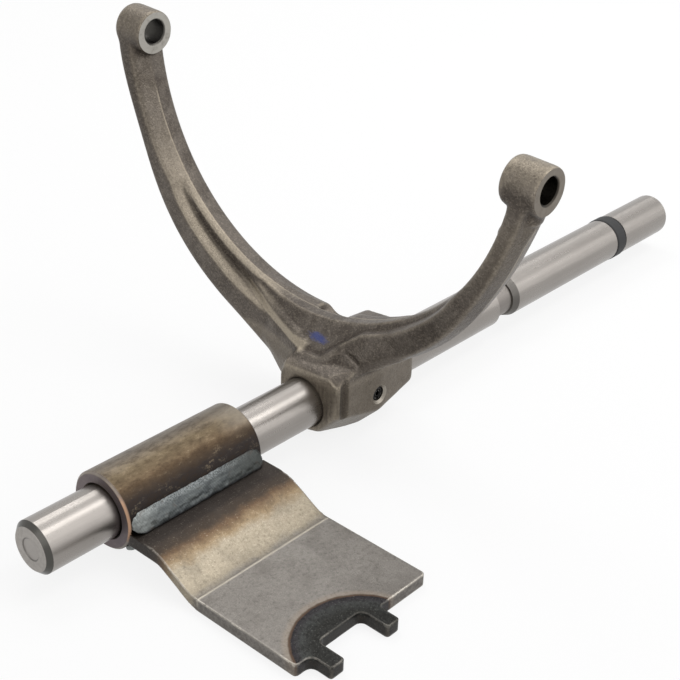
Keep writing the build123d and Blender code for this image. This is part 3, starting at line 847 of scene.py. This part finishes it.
class SHAFT_OT_pins(bpy.types.Operator):
    """Finishes the four spring pins"""
    bl_idname = "shaft.pins"
    bl_label = "Spring pins"

    def execute(self, context):
        steel = pin_steel(context.scene.shaft_pin)
        for node in ("fork_pin_outer", "fork_pin_inner", "sleeve_pin_outer", "sleeve_pin_inner"):
            coat_node(node, steel)
        return {"FINISHED"}


# Soft lights round the rail: name, turn from straight up towards -Y and width, both in degrees,
# brightness, and middle and length along X in metres
LIGHT_RING = [
    ("back_strip", -27, 10, 1.9, 0.95, 1.9),
    ("roof_gap", -9, 20, 0.6, 0.95, 1.9),
    ("roof_strip", 16, 20, 3.9, 0.72, 0.85),
    ("front_sky", 48, 34, 1.15, 0.95, 1.9),
    ("front_low", 76, 16, 0.8, 0.95, 1.9),
]
RING_REACH = 1.1


class SHAFT_OT_stage(bpy.types.Operator):
    """Sets the floor, the soft lights and the camera"""
    bl_idname = "shaft.stage"
    bl_label = "Floor, light and camera"

    def execute(self, context):
        look = context.scene.shaft_stage
        self.floor(look)
        self.room(look, context.scene)
        for name, turn, width, bright, middle, length in LIGHT_RING:
            a = math.radians(turn)
            spot = Vector((middle, -RING_REACH * math.sin(a), RING_REACH * math.cos(a)))
            across = 2 * RING_REACH * math.tan(math.radians(width) / 2)
            self.softbox(name, spot, Vector((middle, 0, 0)), length, across, bright * look.light)
        self.softbox("left_fill", Vector((-1.3, -0.25, 0.75)), Vector((0.1, 0, 0.05)), 1.3, 1.1,
                     0.9 * look.light)
        self.softbox("boss_light", Vector((0.4, 0.66, 0.9)), Vector((0.15, -0.05, 0.1)), 0.5, 0.4,
                     2.8 * look.light)
        eye = bpy.data.cameras.new("camera")
        eye.lens = look.lens
        eye.sensor_width = 36
        eye.sensor_fit = "HORIZONTAL"
        eye.clip_start = 0.01
        camera = bpy.data.objects.new("camera", eye)
        context.scene.collection.objects.link(camera)
        camera.location = look.eye
        camera.rotation_euler = look.turn
        context.scene.camera = camera
        context.scene.view_settings.view_transform = "Standard"
        return {"FINISHED"}

    def softbox(self, name, spot, aim, length, across, bright):
        """Area light; bright is how bright its face looks, 1 being white."""
        lamp = bpy.data.lights.new(name, "AREA")
        lamp.shape = "RECTANGLE"
        lamp.size = length
        lamp.size_y = across
        lamp.energy = bright * math.pi * length * across
        made = bpy.data.objects.new(name, lamp)
        bpy.context.scene.collection.objects.link(made)
        made.location = spot
        made.rotation_euler = (aim - spot).to_track_quat("-Z", "Y").to_euler()
        made.visible_camera = False

    def floor(self, look):
        """Pale floor that shows a soft shadow and no edge."""
        bpy.ops.mesh.primitive_plane_add(size=12, location=(0, 0, CAD_BOX[0].z - 0.03 * MM))
        piece = bpy.context.view_layer.objects.active
        piece.name = "floor"
        only(piece)
        bpy.ops.object.transform_apply(location=True, rotation=True, scale=True)
        f = Finish("pale_floor")
        seen = self.seen(f)
        lit = f.node("ShaderNodeBsdfDiffuse", {}, {"Color": (0.85, 0.85, 0.85)})
        white = f.node("ShaderNodeEmission", {}, {"Color": (1.0, 1.0, 1.0), "Strength": 1.0})
        both = f.node("ShaderNodeMixShader", {}, {0: seen * (1 - look.shadow), 1: lit, 2: white})
        paint(piece, f.ended(both))

    def room(self, look, scene):
        """White room to the camera and in reflections, dimmer as a light."""
        world = bpy.data.worlds.new("room")
        scene.world = world
        world.use_nodes = True
        tree = world.node_tree
        tree.nodes.clear()
        rays = tree.nodes.new("ShaderNodeLightPath")
        seen = tree.nodes.new("ShaderNodeMath")
        seen.operation = "MAXIMUM"
        tree.links.new(rays.outputs["Is Camera Ray"], seen.inputs[0])
        both = tree.nodes.new("ShaderNodeMath")
        both.operation = "MAXIMUM"
        tree.links.new(rays.outputs["Is Glossy Ray"], both.inputs[0])
        tree.links.new(rays.outputs["Is Transmission Ray"], both.inputs[1])
        tree.links.new(both.outputs[0], seen.inputs[1])
        level = tree.nodes.new("ShaderNodeMapRange")
        level.inputs["To Min"].default_value = look.sky
        tree.links.new(seen.outputs[0], level.inputs["Value"])
        back = tree.nodes.new("ShaderNodeBackground")
        back.inputs["Color"].default_value = (1, 1, 1, 1)
        tree.links.new(level.outputs[0], back.inputs["Strength"])
        end = tree.nodes.new("ShaderNodeOutputWorld")
        tree.links.new(back.outputs[0], end.inputs["Surface"])

    def seen(self, finish):
        """1 for rays from the camera, a reflection or a clear surface, and 0 for others."""
        rays = finish.node("ShaderNodeLightPath", {}, {}).socket.node
        camera, glossy, through = (
            Socket(finish, rays.outputs[name])
            for name in ("Is Camera Ray", "Is Glossy Ray", "Is Transmission Ray"))
        return camera.most(glossy).most(through)


class SHAFT_PT_panel(bpy.types.Panel):
    """Lists the pieces of the shift rail"""
    bl_idname = "SHAFT_PT_panel"
    bl_label = "Shift rail"
    bl_space_type = "VIEW_3D"
    bl_region_type = "UI"
    bl_category = "Shift rail"

    def draw(self, context):
        for operator, group in STEPS:
            self.layout.operator(operator.bl_idname)
            for name in group.__annotations__:
                self.layout.prop(getattr(context.scene, GROUPS[group]), name)


STEPS = [
    (SHAFT_OT_rail, RailLook),
    (SHAFT_OT_fork, ForkLook),
    (SHAFT_OT_sleeve, SleeveLook),
    (SHAFT_OT_plate, PlateLook),
    (SHAFT_OT_welds, WeldLook),
    (SHAFT_OT_pins, PinLook),
    (SHAFT_OT_stage, StageLook),
]
GROUPS = {
    RailLook: "shaft_rail", ForkLook: "shaft_fork", SleeveLook: "shaft_sleeve",
    PlateLook: "shaft_plate", WeldLook: "shaft_weld", PinLook: "shaft_pin", StageLook: "shaft_stage",
}


def register():
    for operator, group in STEPS:
        bpy.utils.register_class(group)
        setattr(bpy.types.Scene, GROUPS[group], bpy.props.PointerProperty(type=group))
        bpy.utils.register_class(operator)
    bpy.utils.register_class(SHAFT_PT_panel)


def unregister():
    bpy.utils.unregister_class(SHAFT_PT_panel)
    for operator, group in reversed(STEPS):
        bpy.utils.unregister_class(operator)
        delattr(bpy.types.Scene, GROUPS[group])
        bpy.utils.unregister_class(group)


def main():
    """Builds every piece and the stage."""
    register()
    bpy.ops.shaft.rail()
    bpy.ops.shaft.fork()
    bpy.ops.shaft.sleeve()
    bpy.ops.shaft.plate()
    bpy.ops.shaft.welds()
    bpy.ops.shaft.pins()
    bpy.ops.shaft.stage()


if __name__ == "__main__":
    main()
